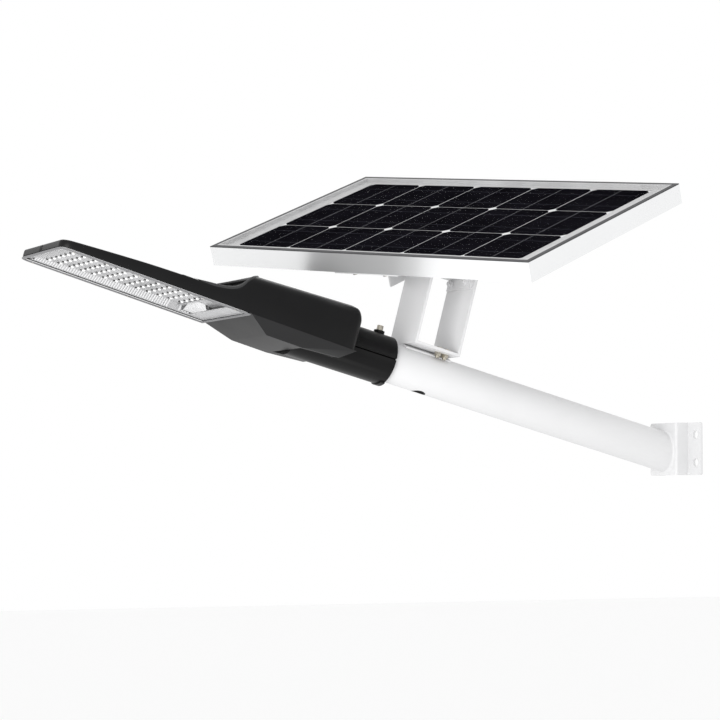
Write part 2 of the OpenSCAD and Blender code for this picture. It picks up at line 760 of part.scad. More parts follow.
// two long screws that pull the lower half-sleeve up into the housing
module clamp_screws() color("silver") arm_frame() clamp_screw_places() translate([0, 0, clamp_head_z]) {
    mirror([0, 0, 1]) cylinder(r = clamp_head_r, h = clamp_head_h);
    translate([0, 0, -cut]) cylinder(r = clamp_screw_r, h = clamp_screw_len);
}

// lower face of the light board, tilted so that it rises towards the rear
module board_frame() head_frame() translate([led_u1, 0, led_w]) rotate([0, board_tilt, 0]) children();
module led_board() color("white") board_frame()
    box(tray_u0 + tray_rear - led_u1, tray_u1 - 2 * tray_front - led_u1,
        -tray_hw + tray_side, tray_hw - tray_side, 0, board_t);

module led_emitters() color("white") board_frame() for (i = [0:led_rows - 1], j = [0:led_cols - 1])
    translate([-i * led_pitch_u, (j - (led_cols - 1) / 2) * led_pitch_y, 0]) intersection() {
        translate([0, 0, dome_r - dome_h]) sphere(r = dome_r, $fn = 24);
        slab(3 * dome_r, 3 * dome_r, -dome_r, 0);
    }

module reflector() color("gainsboro") head_frame() difference() {
    box(tray_u0, tray_u1, -tray_hw, tray_hw, part_w + 1, led_w + 2 * board_t);
    box(tray_u0 + tray_rear - wall, tray_u1 - tray_front,
        -tray_hw + tray_side - wall, tray_hw - tray_side + wall, part_w, part_w + tray_side);
    for (u = [tray_u0 + tray_rear:rib_pitch:tray_u1 - tray_front], y = [-1, 1])
        translate([u, y * (tray_hw - tray_side / 2), part_w]) slab(rib_w, rib_l, 0, wall - rib_w / 4);
}

// lens outline, square where it meets the lower cover and rounded at the tip
module lens_plan(inset, w0, w1) {
    head_plan(lens_u0 + inset, head_u1 - inset, head_hw - inset, lens_corner_r - inset / 2, w0, w1);
    box(lens_u0 + inset, head_u1 / 2, -head_hw + inset, head_hw - inset, w0, w1);
}
module lens_cover() color([0.9, 0.9, 0.9, 0.4]) head_frame()
    lens_plan(wall + 0.5, lens_w, lens_w + lens_t);

module lens_screw_places() for (i = [0:lens_screw_count - 1], y = [-1, 1])
    translate([lens_screw_u + i * lens_screw_pitch, y * (head_hw - rim_w / 2), lens_w - rim_t])
        children();
module lens_frame() color("gray") head_frame() difference() {
    lens_plan(run_gap, lens_w - rim_t, lens_w);
    lens_plan(rim_w, lens_w - 2 * rim_t, lens_w + cut);
    lens_screw_places() translate([0, 0, -cut]) cylinder(r = rim_w / 3 + run_gap, h = 2 * rim_t + cut);
}
module lens_screws() color("silver") head_frame() lens_screw_places()
    translate([0, 0, -rim_t / 4]) cylinder(r = rim_w / 3, h = rim_t);

module battery_pack() color("royalblue") head_frame() for (i = [0:2], y = [-1, 1])
    translate([battery_u + i * battery_pitch, y * battery_y - cell_l / 2, battery_w]) rotate([-90, 0, 0])
        cylinder(r = cell_r, h = cell_l);

module battery_holder() color("black") head_frame() difference() {
    box(battery_u - battery_pitch / 2, battery_u + 2.5 * battery_pitch, -holder_hw, holder_hw,
        holder_low, holder_high);
    for (i = [0:2]) translate([battery_u + i * battery_pitch, -2 * cell_l, battery_w]) rotate([-90, 0, 0])
        cylinder(r = cell_r, h = 4 * cell_l);
}

module charge_controller() color("green") head_frame() translate([controller_u[0], 0, controller_w]) {
    box(0, controller_u[1] - controller_u[0], -controller_hw, controller_hw, 0, board_t);
    translate([block_u, -controller_hw + block_u, 0]) cube([block_l, 2 * block_l, block_h]);
    translate([2 * block_u + block_l, 0, 0]) cube([block_l, 2 * block_l, block_h]);
    for (i = [0:3]) translate([capacitor_u, (i - 2) * 3 * capacitor_r, board_t])
        cylinder(r = capacitor_r, h = 2 * capacitor_r);
}

wall_bracket();
arm_tube();
arm_weld();
cable_grommet();
saddle_shoe();
panel_stand();
saddle_bolts();
saddle_nuts();
swivel_plate();
swivel_plate_screws();
swivel_bolt();
swivel_nut();
tilt_cradle();
tilt_bolts();
tilt_nuts();
tilt_lock_bolt();
panel_bracket();
bracket_bolts();
frame_rail_front();
frame_rail_back();
frame_rail_left();
frame_rail_right();
corner_keys();
panel_glass();
solar_cells();
backsheet();
junction_box();
junction_box_lid();
junction_box_glands();
upper_housing();
lower_cover();
cover_gasket();
cover_screws();
clamp_upper();
clamp_lower();
clamp_set_bolt();
clamp_screws();
led_board();
led_emitters();
reflector();
lens_cover();
lens_frame();
lens_screws();
battery_pack();
battery_holder();
charge_controller();
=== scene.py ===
"""Looks for the solar street lamp: materials, rounded metal, housing, lens detail, studio and camera."""
import bpy
import bmesh
import json
import math
from mathutils import Matrix, Vector


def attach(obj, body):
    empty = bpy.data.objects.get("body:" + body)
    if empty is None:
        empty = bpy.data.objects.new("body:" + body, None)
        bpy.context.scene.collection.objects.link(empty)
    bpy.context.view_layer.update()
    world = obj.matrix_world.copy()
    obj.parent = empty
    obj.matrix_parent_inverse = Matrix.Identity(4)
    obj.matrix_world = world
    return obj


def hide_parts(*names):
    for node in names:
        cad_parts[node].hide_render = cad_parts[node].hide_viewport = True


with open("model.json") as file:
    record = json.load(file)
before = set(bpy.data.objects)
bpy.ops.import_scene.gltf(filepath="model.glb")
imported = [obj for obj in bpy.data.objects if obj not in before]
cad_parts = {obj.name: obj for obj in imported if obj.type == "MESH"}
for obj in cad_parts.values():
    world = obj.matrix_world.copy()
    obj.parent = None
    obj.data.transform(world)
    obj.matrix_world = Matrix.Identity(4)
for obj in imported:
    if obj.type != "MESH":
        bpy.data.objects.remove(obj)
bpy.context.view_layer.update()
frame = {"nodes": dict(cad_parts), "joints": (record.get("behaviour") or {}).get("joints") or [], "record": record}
nodes = frame["nodes"]
joints = {j["name"]: j for j in frame["joints"]}
MM = 0.001


# ---------- places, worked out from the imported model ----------
# ARM runs along the tube and HEAD along the lamp head (u along it, y across it, w up). PANEL lies on the
# tilt axis, with z as the panel's normal. Lengths in them are millimetres.
def axes(origin, x, y, z):
    """A matrix that takes local millimetre coordinates to the row frame in metres."""
    m = Matrix.Identity(4)
    for i, v in enumerate((x, y, z)):
        m.col[i].xyz = v * MM
    m.translation = origin
    return m


def largest_normal(node):
    """The normal of a node's largest face, pointing up."""
    face = max(nodes[node].data.polygons, key=lambda p: p.area)
    n = face.normal.copy()
    return n if n.z > 0 else -n


side = Vector((0, 1, 0))
arm_dir = Vector(joints["head_roll"]["axis"]).normalized()
arm_up = arm_dir.cross(side)
arm_up = arm_up if arm_up.z > 0 else -arm_up
roll_pos = Vector(joints["head_roll"]["pos_m"])
arm_origin = roll_pos - arm_dir * (roll_pos.x / arm_dir.x)
ARM = axes(arm_origin, arm_dir, side, arm_up)

HEAD_DATUM = 600 * MM
head_up = largest_normal("lens_cover")
head_dir = side.cross(head_up)
HEAD = axes(arm_origin + arm_dir * HEAD_DATUM, head_dir, side, head_up)

tilt_dir = Vector(joints["panel_tilt"]["axis"]).normalized()
tilt_pos = Vector(joints["panel_tilt"]["pos_m"])
panel_up = largest_normal("panel_glass")
PANEL = axes(tilt_pos, tilt_dir, panel_up.cross(tilt_dir), panel_up)


# ---------- materials ----------
CLOUD_SCALE = 18.0
BUMP_DEPTH = 0.05
# painted highlight: sharp edges, picked out by pointiness between these two values, get a lighter colour
EDGE_HIGHLIGHT_START, EDGE_HIGHLIGHT_END = 0.52, 0.6


def new_material(name, colour, rough, metal=0.0, coat=0.0, specular=0.5, alpha=1.0):
    m = bpy.data.materials.new(name)
    m.use_nodes = True
    b = m.node_tree.nodes["Principled BSDF"]
    b.inputs["Base Color"].default_value = (*colour, 1)
    b.inputs["Roughness"].default_value = rough
    b.inputs["Metallic"].default_value = metal
    b.inputs["Specular IOR Level"].default_value = specular
    b.inputs["Coat Weight"].default_value = coat
    b.inputs["Coat Roughness"].default_value = 0.1
    b.inputs["Alpha"].default_value = alpha
    return m


def link(m, a, out, b, into):
    m.node_tree.links.new(a.outputs[out], b.inputs[into])


def add(m, kind, **values):
    n = m.node_tree.nodes.new(kind)
    for k, v in values.items():
        n.inputs[k.replace("_", " ")].default_value = v
    return n


def ramp(m, low, high, start=0.3, end=0.7):
    """A two-colour ramp from low to high."""
    n = m.node_tree.nodes.new("ShaderNodeValToRGB")
    for element, place, colour in zip(n.color_ramp.elements, (start, end), (low, high)):
        element.position = place
        element.color = (*colour, 1)
    return n


def finish(m, colour, spread, grain_mm, bump, rough_spread, stretch=(1, 1, 1), edge_highlight=None):
    """Fine grain as bump, broad cloudiness as colour and roughness, and a painted highlight along sharp edges."""
    b = m.node_tree.nodes["Principled BSDF"]
    rough = b.inputs["Roughness"].default_value
    place = add(m, "ShaderNodeTexCoord")
    mapping = add(m, "ShaderNodeMapping", Scale=stretch)
    link(m, place, "Object", mapping, "Vector")
    fine = add(m, "ShaderNodeTexNoise", Scale=1 / (grain_mm * MM), Detail=2.0, Roughness=0.5)
    broad = add(m, "ShaderNodeTexNoise", Scale=CLOUD_SCALE, Detail=4.0, Roughness=0.6)
    link(m, mapping, "Vector", fine, "Vector")
    link(m, mapping, "Vector", broad, "Vector")
    clouds = ramp(m, [c * (1 - spread) for c in colour], [min(1, c * (1 + spread)) for c in colour])
    link(m, broad, "Fac", clouds, "Fac")
    last = clouds
    # painted highlight: the lighter colour is mixed in on sharp edges
    if edge_highlight:
        geometry = add(m, "ShaderNodeNewGeometry")
        edge = ramp(m, (0, 0, 0), (1, 1, 1), EDGE_HIGHLIGHT_START, EDGE_HIGHLIGHT_END)
        link(m, geometry, "Pointiness", edge, "Fac")
        mix = m.node_tree.nodes.new("ShaderNodeMixRGB")
        mix.inputs["Color2"].default_value = (*edge_highlight, 1)
        link(m, edge, "Color", mix, "Fac")
        link(m, clouds, "Color", mix, "Color1")
        last = mix
    link(m, last, "Color", b, "Base Color")
    span = add(m, "ShaderNodeMapRange", To_Min=rough - rough_spread, To_Max=rough + rough_spread)
    link(m, broad, "Fac", span, "Value")
    link(m, span, "Result", b, "Roughness")
    bumps = add(m, "ShaderNodeBump", Strength=bump, Distance=BUMP_DEPTH * MM)
    link(m, fine, "Fac", bumps, "Height")
    link(m, bumps, "Normal", b, "Normal")
    return m


def material(name, colour, rough, spread=0.03, grain_mm=0.8, bump=0.3, rough_spread=0.05,
             stretch=(1, 1, 1), edge_highlight=None, **more):
    """A named finish: spread is how much its colour varies, and more goes to new_material."""
    return finish(new_material(name, colour, rough, **more), colour, spread, grain_mm, bump, rough_spread,
                  stretch, edge_highlight)


WHITE = (0.68, 0.68, 0.685)
BLACK = (0.0045, 0.0045, 0.0048)
# the lighter black laid on the black gloss's sharp edges as a painted highlight
EDGE_HIGHLIGHT_BLACK = (0.014, 0.014, 0.014)
COVER = (0.0115, 0.0115, 0.012)
SLOTS = {
    "white_paint": material("white_powder_coat", WHITE, 0.42, 0.012, 1.1, 0.25, specular=0.35),
    "black_gloss": material("black_gloss_coat", BLACK, 0.34, 0.12, 0.9, 0.2, specular=0.13,
                            edge_highlight=EDGE_HIGHLIGHT_BLACK),
    "black_cover": material("cover_gloss_coat", COVER, 0.42, 0.08, 0.9, 0.2, specular=0.16),
    "frame_metal": material("satin_anodised", (0.88, 0.885, 0.89), 0.24, 0.006, 0.9, 0.006, 0.02, metal=0.7),
    "steel": material("zinc_plate", (0.5, 0.47, 0.4), 0.3, 0.2, 0.6, 0.4, 0.1, metal=1.0),
    "rubber": material("rubber_black", (0.014, 0.014, 0.014), 0.7, 0.2, 0.5, 0.5, specular=0.3),
    "black_plastic": material("plastic_black", (0.012, 0.012, 0.012), 0.5, 0.15, 0.5, 0.6, specular=0.3),
    "panel_glass": new_material("panel_glass", (0.01, 0.01, 0.014), 0.35, specular=0.03, alpha=0.01),
    "cell": material("silicon_cells", (0.0045, 0.0043, 0.006), 0.6, 0.35, 4.0, 0.02, specular=0.0),
    "sheet_white": material("white_sheet", (0.66, 0.665, 0.67), 0.45, 0.02, 0.7, 0.2),
    "reflector": material("bright_reflector", (0.4, 0.4, 0.405), 0.36, 0.06, 0.9, 0.05, metal=0.3),
    "lens_clear": new_material("lens_clear", (0.4, 0.41, 0.42), 0.08, specular=0.3, alpha=0.03),
    "lens_frame": material("rim_metal", (0.17, 0.17, 0.175), 0.45, 0.05, 0.8, 0.1, specular=0.2),
    "emitter": material("emitter_dome", (0.82, 0.82, 0.815), 0.2, 0.02, 0.6, 0.02, 0.02, coat=0.3),
    "battery_wrap": material("battery_wrap", (0.03, 0.12, 0.42), 0.3, 0.08),
    "circuit": material("solder_mask", (0.01, 0.13, 0.05), 0.35, 0.3, 0.5, 0.4),
}
BOARD = material("board_mask", (0.4, 0.4, 0.405), 0.5, 0.25, 1.4, 0.2, specular=0.2)
# lighter than the reflector: a painted highlight on the ribs, flutes and bead, and the wire entry cover's own pale
# colour
RIB_PALE_AND_HIGHLIGHT = material("rib_pale_and_painted_highlight", (0.62, 0.62, 0.625), 0.35, 0.02, 0.9, 0.03)
# painted shadow: dark grey for the strips put in the shaded gaps round the wire entry cover
GAP_PAINTED_SHADOW = material("gap_painted_shadow_grey", (0.12, 0.12, 0.122), 0.5, 0.1, 0.9, 0.05, specular=0.2)
# painted highlight: a lighter black than the housing so the dish rim shows bright arcs; its stronger specular is
# real
RIM_HIGHLIGHT_BLACK = material("rim_black_painted_highlight", (0.022, 0.022, 0.023), 0.28, 0.1, 0.9, 0.1, specular=0.35)
MARGIN = material("margin_sheet", (0.42, 0.42, 0.425), 0.42, 0.05, 0.9, 0.03, specular=0.3)
# painted shade: dark grey standing for the shaded outer edge of the pale frame
EDGE_PAINTED_SHADE = material("edge_painted_shade", (0.06, 0.06, 0.063), 0.45, 0.15, 0.9, 0.05, specular=0.1)
# the lip top's own satin grey, also laid on its inner face as painted light where the channel wall is in shade
LIP_GREY_AND_PAINTED_LIGHT = material("lip_grey_and_painted_light", (0.47, 0.47, 0.474), 0.45, 0.1, 0.9, 0.05, specular=0.15)
# painted shade: flat black with no specular, filling the clamp sleeve's splits
SPLIT_PAINTED_SHADE = material("split_painted_shade", (0.004, 0.004, 0.004), 0.8, 0.2, 0.9, 0.2, specular=0.0)
BUSBAR = material("cell_busbar", (0.03, 0.03, 0.038), 0.5, 0.05, specular=0.0)
CHIP = material("chip_dark", (0.012, 0.011, 0.01), 0.4, 0.3)
SILVER = material("cell_ribbon", (0.14, 0.14, 0.15), 0.5, 0.05, specular=0.0)

for part in frame["record"]["subparts"]:
    o = nodes[part["node"]]
    o.data.materials.clear()
    o.data.materials.append(SLOTS[part["material_slot"]])
SLOT_OF = {part["node"]: part["material_slot"] for part in frame["record"]["subparts"]}
BODY_OF = {n: body for body, members in frame["record"]["behaviour"]["bodies"].items() for n in members}


# ---------- pieces ----------
SHARP = math.radians(32)
FLAT = math.radians(10)
MERGE_DIST = 0.002


def piece(name, bm, slot, body, replaced=(), finish_material=None, matrix=None, sharp=SHARP, even=False):
    """Turns a bmesh into a piece of the model that rides on a body and stands for some CAD nodes."""
    if matrix:
        bm.transform(matrix)
    bmesh.ops.recalc_face_normals(bm, faces=bm.faces)
    mesh = bpy.data.meshes.new(name)
    bm.to_mesh(mesh)
    bm.free()
    mesh.shade_smooth()
    mesh.set_sharp_from_angle(angle=sharp)
    mesh.materials.append(finish_material or SLOTS[slot])
    o = bpy.data.objects.new(name, mesh)
    bpy.context.scene.collection.objects.link(o)
    if even:
        o.modifiers.new("even", "WEIGHTED_NORMAL").keep_sharp = True
    if replaced:
        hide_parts(*replaced)
    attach(o, body)


def soften(node, radius):
    """A copy of a CAD node with its sharp edges rounded, which stands for the node."""
    bm = bmesh.new()
    bm.from_mesh(nodes[node].data)
    bmesh.ops.remove_doubles(bm, verts=bm.verts, dist=MERGE_DIST * MM)
    bmesh.ops.dissolve_limit(bm, angle_limit=math.radians(0.4), verts=bm.verts, edges=bm.edges)
    edges = [e for e in bm.edges if len(e.link_faces) == 2 and e.calc_face_angle() > SHARP]
    bmesh.ops.bevel(bm, geom=edges, offset=radius * MM, segments=2, profile=0.6, affect="EDGES",
                    clamp_overlap=True, offset_type="OFFSET")
    bmesh.ops.remove_doubles(bm, verts=bm.verts, dist=MERGE_DIST * MM)
    piece(node + "_rounded", bm, SLOT_OF[node], BODY_OF[node], [node], even=True)


def smoothstep(a, b, x):
    t = min(max((x - a) / (b - a), 0), 1)
    return t * t * (3 - 2 * t)


def smooth_min(a, b, k):
    """The lower of a and b, with the crease between them rounded over about k."""
    h = max(k - abs(a - b), 0) / k
    return min(a, b) - h * h * k / 4


def grid_faces(bm, rows, close=False):
    """Quads between rows of vertices; close joins each row's ends."""
    for r0, r1 in zip(rows, rows[1:]):
        n = len(r0)
        for i in range(n if close else n - 1):
            j = (i + 1) % n
            bm.faces.new((r0[i], r0[j], r1[j], r1[i]))


def add_rectangles(bm, sizes):
    """Bands between rectangles, each given as half length, half width and height."""
    corners = ((-1, -1), (1, -1), (1, 1), (-1, 1))
    rows = [[bm.verts.new((sx * x, sy * y, z)) for sx, sy in corners] for x, y, z in sizes]
    grid_faces(bm, rows, close=True)


def add_box(bm, x0, x1, y0, y1, z0, z1):
    c = [bm.verts.new((x, y, z)) for x in (x0, x1) for y in (y0, y1) for z in (z0, z1)]
    for f in ((0, 1, 3, 2), (4, 6, 7, 5), (0, 4, 5, 1), (2, 3, 7, 6), (0, 2, 6, 4), (1, 5, 7, 3)):
        bm.faces.new([c[i] for i in f])
    return c


def bevel_all(bm, radius, segments=2):
    bmesh.ops.bevel(bm, geom=[e for e in bm.edges if e.calc_face_angle(0) > SHARP], offset=radius,
                    segments=segments, profile=0.6, affect="EDGES", clamp_overlap=True)


def add_turned(bm, profile, place, steps=24, up=Vector((0, 0, 1))):
    """A turned solid: profile is (radius, height) from bottom to top, about up at place."""
    turn = up.to_track_quat("Z", "Y").to_matrix()
    rows = []
    for r, z in profile:
        ring = []
        for i in range(steps):
            a = math.tau * i / steps
            ring.append(bm.verts.new(Vector(place) + turn @ Vector((r * math.cos(a), r * math.sin(a), z))))
        rows.append(ring)
    grid_faces(bm, rows, close=True)
    bm.faces.new(rows[0][::-1])
    bm.faces.new(rows[-1])


# ---------- lamp head ----------
# outline: rear end, front end, half width, corner radius; the housing's lower edge; its wall
HEAD_U0, HEAD_U1, HEAD_HW, PLAN_R = 8.0, 466.0, 87.0, 14.0
PART_W = -16.0
WALL_T = 2.5
# rear: its highest line, and how it drops at the rear end
CROWN_TOP, CROWN_SLOPE, CROWN_R = 57.5, math.tan(math.radians(3.1)), 260.0
REAR_DROP, REAR_REACH = 12.0, 14.0
# dish: centre, floor height at the lip and inside it, radius, and the sweep that rises from it to the rear
BOWL_U, BOWL_RIM_FLOOR, BOWL_FLOOR, BOWL_R, BOWL_SWEEP = 290.0, 3.6, 1.0, 94.0, 36.0
SWEEP_EXIT = 4
LIP, CREASE_R = 4.0, 3.0
# blade: height at the dish's centre, its slope and its curve
BLADE_W, BLADE_SLOPE, BLADE_CURVE = 3.8, 0.04, 8.5e-5
# rounding of the top's edge, which grows between two stations from the blade's to the rear's
EDGE_R_BLADE, EDGE_R_REAR, EDGE_GROWS = 3, 9, (232, 196)


def inside_plan(u, y):
    """Distance from a point to the housing's plan outline, inwards."""
    qx = abs(u - (HEAD_U0 + HEAD_U1) / 2) - ((HEAD_U1 - HEAD_U0) / 2 - PLAN_R)
    qy = abs(y) - (HEAD_HW - PLAN_R)
    return PLAN_R - math.hypot(max(qx, 0), max(qy, 0)) - min(max(qx, qy), 0)


def inward(u, y):
    """The direction in plan that leads into the housing from a point on its outline."""
    h = 0.01
    along = inside_plan(u + h, y) - inside_plan(u - h, y)
    across = inside_plan(u, y + h) - inside_plan(u, y - h)
    g = Vector((along, across, 0))
    return g.normalized() if g.length > 1e-9 else Vector((0, -math.copysign(1, y), 0))


def plan_half_width(u):
    d = min(u - HEAD_U0, HEAD_U1 - u)
    return HEAD_HW if d >= PLAN_R else HEAD_HW - PLAN_R + math.sqrt(max(PLAN_R**2 - (PLAN_R - d) ** 2, 0))


def rear_height(u, y):
    crown = CROWN_TOP - CROWN_SLOPE * u - (CROWN_R - math.sqrt(CROWN_R**2 - y * y))
    return crown - REAR_DROP * max(1 - (u - HEAD_U0) / REAR_REACH, 0) ** 2


def top_height(u, y):
    """The housing's top: a crowned rear, a thin blade, and the round dish between them."""
    rear = rear_height(u, y)
    blade = BLADE_W - BLADE_SLOPE * (u - BOWL_U) - BLADE_CURVE * max(u - BOWL_U, 0) ** 2
    edge = inside_plan(u, y)
    floor = BOWL_RIM_FLOOR + (BOWL_FLOOR - BOWL_RIM_FLOOR) * smoothstep(LIP - 1, LIP + 1, edge)
    out = math.hypot(u - BOWL_U, y) - BOWL_R
    reach = min(max(out, 0), BOWL_SWEEP)
    dish = floor + BOWL_SWEEP - math.sqrt(BOWL_SWEEP**2 - reach**2) + max(out - BOWL_SWEEP, 0) * SWEEP_EXIT
    height = smooth_min(rear if u < BOWL_U else blade, dish, CREASE_R)
    r = EDGE_R_BLADE + (EDGE_R_REAR - EDGE_R_BLADE) * smoothstep(*EDGE_GROWS, u)
    if edge < r:
        height -= r - math.sqrt(max(r * r - (r - edge) ** 2, 0))
    return height


# stations closer together where the surface turns: at both ends, round the dish, and along the side edges
END_STEPS = [0, 0.12, 0.5, 1.1, 1.9, 3, 4.4, 6.2, 8.5, 11, 14]
DISH_STATIONS = [*range(150, 310, 2)]
OTHER_STATIONS = [*range(28, 148, 6), *range(314, 452, 6)]
SIDE_STEPS = [0, 0.08, 0.35, 0.8, 1.4, 2.2, 3.1, 4.1, 5.2, 6.6, 8.5, 11,
              15, 20, 26, 33, 40, 48, 56, 64, 71, 79]
# the lower edge as inset and height: a rounded corner, the flat edge, then the start of the inner wall
LOWER_EDGE = ((0, PART_W + 0.7), (0.2, PART_W + 0.2), (0.7, PART_W), (WALL_T, PART_W), (WALL_T, PART_W + 2))


def housing():
    """The cast housing: its top as a height field, with the side walls and the lower edge hung from it."""
    ends = [HEAD_U0 + e for e in END_STEPS] + [HEAD_U1 - e for e in END_STEPS]
    bm = bmesh.new()
    rows = []
    for u in sorted(set(ends + DISH_STATIONS + OTHER_STATIONS)):
        hw = plan_half_width(u)
        ys = [hw - o for o in SIDE_STEPS] + [0] + [o - hw for o in reversed(SIDE_STEPS)]
        rows.append([bm.verts.new((u, y, top_height(u, y))) for y in ys])
    grid_faces(bm, rows)
    loop = [r[0] for r in rows] + rows[-1][1:-1] + [r[-1] for r in reversed(rows)] + rows[0][-2:0:-1]
    rings = [loop]
    for inset, w in LOWER_EDGE:
        points = [Vector((v.co.x, v.co.y, w)) + inward(v.co.x, v.co.y) * inset for v in loop]
        rings.append([bm.verts.new(p) for p in points])
    grid_faces(bm, rings, close=True)
    piece("housing_casting", bm, "black_gloss", "lamp_head", ["upper_housing"], matrix=HEAD,
          sharp=math.radians(50))


# bead radius, its distance from the centre line, where it starts, and how it sits on the sides and the crest
RIM_R, RIM_Y, RIM_START, RIM_PROUD, CREST_SINK = 2.6, 84.6, 272.0, 0.6, 0.9
RIM_FLATNESS, RIM_TAPER, RIM_SIDES, RIM_PASSES = 0.85, 14, 12, 6
SIDE_COUNT, CREST_COUNT = 36, 60
SWEEP_R = BOWL_R + BOWL_SWEEP + 1.5


def rim_path():
    """The dish's edge: along the near side, round the crest and back along the far side."""
    corner = math.asin(RIM_Y / SWEEP_R)
    corner_u = BOWL_U - SWEEP_R * math.cos(corner)
    path = []
    for i in range(SIDE_COUNT + 1):
        u = RIM_START + (corner_u - RIM_START) * i / SIDE_COUNT
        path.append((u, RIM_Y, top_height(u, RIM_Y) + RIM_PROUD))
    for i in range(1, CREST_COUNT):
        a = corner - 2 * corner * i / CREST_COUNT
        u, y = BOWL_U - SWEEP_R * math.cos(a), SWEEP_R * math.sin(a)
        path.append((u, y, top_height(u - RIM_R, y) - CREST_SINK))
    return path + [(u, -y, w) for u, y, w in reversed(path[:SIDE_COUNT + 1])]


def dish_rim():
    """The rounded lip that runs round the edge of the dish, in a lighter black as a painted highlight."""
    bm = bmesh.new()
    path = [Vector(p) for p in rim_path()]
    for _ in range(RIM_PASSES):
        path = [path[0]] + [(a + 2 * b + c) / 4 for a, b, c in zip(path, path[1:], path[2:])] + [path[-1]]
    rows = []
    last = len(path) - 1
    for i, p in enumerate(path):
        ahead = (path[min(i + 1, last)] - path[max(i - 1, 0)]).normalized()
        across = ahead.cross(Vector((0, 0, 1))).normalized()
        up = across.cross(ahead)
        r = RIM_R * smoothstep(-1, RIM_TAPER, min(i, last - i))
        turns = [math.tau * k / RIM_SIDES for k in range(RIM_SIDES)]
        rows.append([bm.verts.new(p + across * r * RIM_FLATNESS * math.cos(a) + up * r * math.sin(a))
                     for a in turns])
    grid_faces(bm, rows, close=True)
    bm.faces.new(rows[0][::-1])
    bm.faces.new(rows[-1])
    piece("dish_rim", bm, "black_gloss", "lamp_head", (), RIM_HIGHLIGHT_BLACK, HEAD, sharp=math.pi)


# first row of emitters, its height, the board's tilt, and the emitters' pitches and counts
LED_U1, LED_W, LED_TILT, LED_PITCH_U, LED_PITCH_Y = 437.0, -13.2, math.radians(1.8), 17.0, 19.2
LED_ROWS, LED_COLS = 13, 6
BOARD_U0, BOARD_U1, BOARD_HW, BOARD_T = 226, 450, 55, 1.6
# the long walls: their ends, the window's near and far edge, and how a wall leans over its height
TRAY_U0, TRAY_U1, TRAY_NEAR, TRAY_FAR = 209.0, 449.0, 70.0, 77.0
WALL_LEAN, WALL_SKEW, WALL_OVER, WALL_STEP = 9, 0.5, 4, 10
RIB_PITCH, RIB_OUT, RIB_HALF, RIB_COUNT = 3.8, 1.0, 1.05, 55
LENS_IN = PART_W + 0.9


def board_w(u):
    """The height of the light board's face at a station."""
    return LED_W + (LED_U1 - u) * math.tan(LED_TILT)


# turned shapes as radius and height, and how far each stands from its emitter's centre
DOME = [(2.9, -0.1), (2.9, 0.35), (2.6, 0.9), (2.0, 1.4), (1.0, 1.6)]
CHIP_SHAPE = [(1.7, -0.1), (1.7, 1.5), (1.3, 1.75)]
CHIP_STEP = 1.9


def light_board():
    """The board, and on it a bright dome with a dark chip beside it for each emitter."""
    bm = bmesh.new()
    add_box(bm, BOARD_U0 - LED_U1, BOARD_U1 - LED_U1, -BOARD_HW, BOARD_HW, 0, BOARD_T)
    bevel_all(bm, 0.3)
    tilt = HEAD @ Matrix.Translation((LED_U1, 0, LED_W)) @ Matrix.Rotation(LED_TILT, 4, "Y")
    piece("light_board_plate", bm, "sheet_white", "lamp_head", ["led_board"], BOARD, tilt)
    domes, chips = bmesh.new(), bmesh.new()
    down = Vector((0, 0, -1))
    for i in range(LED_ROWS):
        for j in range(LED_COLS):
            u, y = -i * LED_PITCH_U, (j - (LED_COLS - 1) / 2) * LED_PITCH_Y
            add_turned(domes, DOME, (u - CHIP_STEP, y, 0), 20, down)
            add_turned(chips, CHIP_SHAPE, (u + CHIP_STEP, y, 0), 14, down)
    piece("emitter_domes", domes, "emitter", "lamp_head", ["led_emitters"], None, tilt)
    piece("emitter_chips", chips, "emitter", "lamp_head", (), CHIP, tilt)


def wall_point(u, side_y, t, out):
    """A point on the sloping long wall: t runs from the lens up past the light board."""
    y = TRAY_FAR - WALL_LEAN * t - out
    return (u - WALL_SKEW * t, side_y * y, LENS_IN + t * (board_w(u) + WALL_OVER - LENS_IN))


# heights of the wall's rows as parts of its height, and how fast a rib rises from the wall at its foot
RIB_STEPS = (0, 0.12, 0.3, 0.5, 0.7, 0.88, 1)
RIB_FOOT = 6


def side_wall(bm, side_y):
    stations = [TRAY_U1 - i * WALL_STEP for i in range(int((TRAY_U1 - TRAY_U0) / WALL_STEP) + 1)]
    rows = []
    for t in RIB_STEPS:
        rows.append([bm.verts.new(wall_point(u, side_y, t, 0)) for u in stations])
    grid_faces(bm, rows)


def ribs():
    """Half-round ribs that stand on the long walls beside the emitters, lighter than the walls as a painted
    highlight.
    """
    arc_steps, end_gap, clear = 6, 2, 0.05
    bm = bmesh.new()
    for side_y in (-1, 1):
        for i in range(RIB_COUNT):
            rows = []
            for k in range(arc_steps + 1):
                a = math.pi * k / arc_steps
                u = TRAY_U1 - end_gap - i * RIB_PITCH - RIB_HALF * math.cos(a)
                outs = [RIB_OUT * math.sin(a) * min(1, RIB_FOOT * t) + clear for t in RIB_STEPS]
                rows.append([bm.verts.new(wall_point(u, side_y, t, out)) for t, out in zip(RIB_STEPS, outs)])
            grid_faces(bm, rows)
    piece("reflector_ribs", bm, "reflector", "lamp_head", (), RIB_PALE_AND_HIGHLIGHT, HEAD)


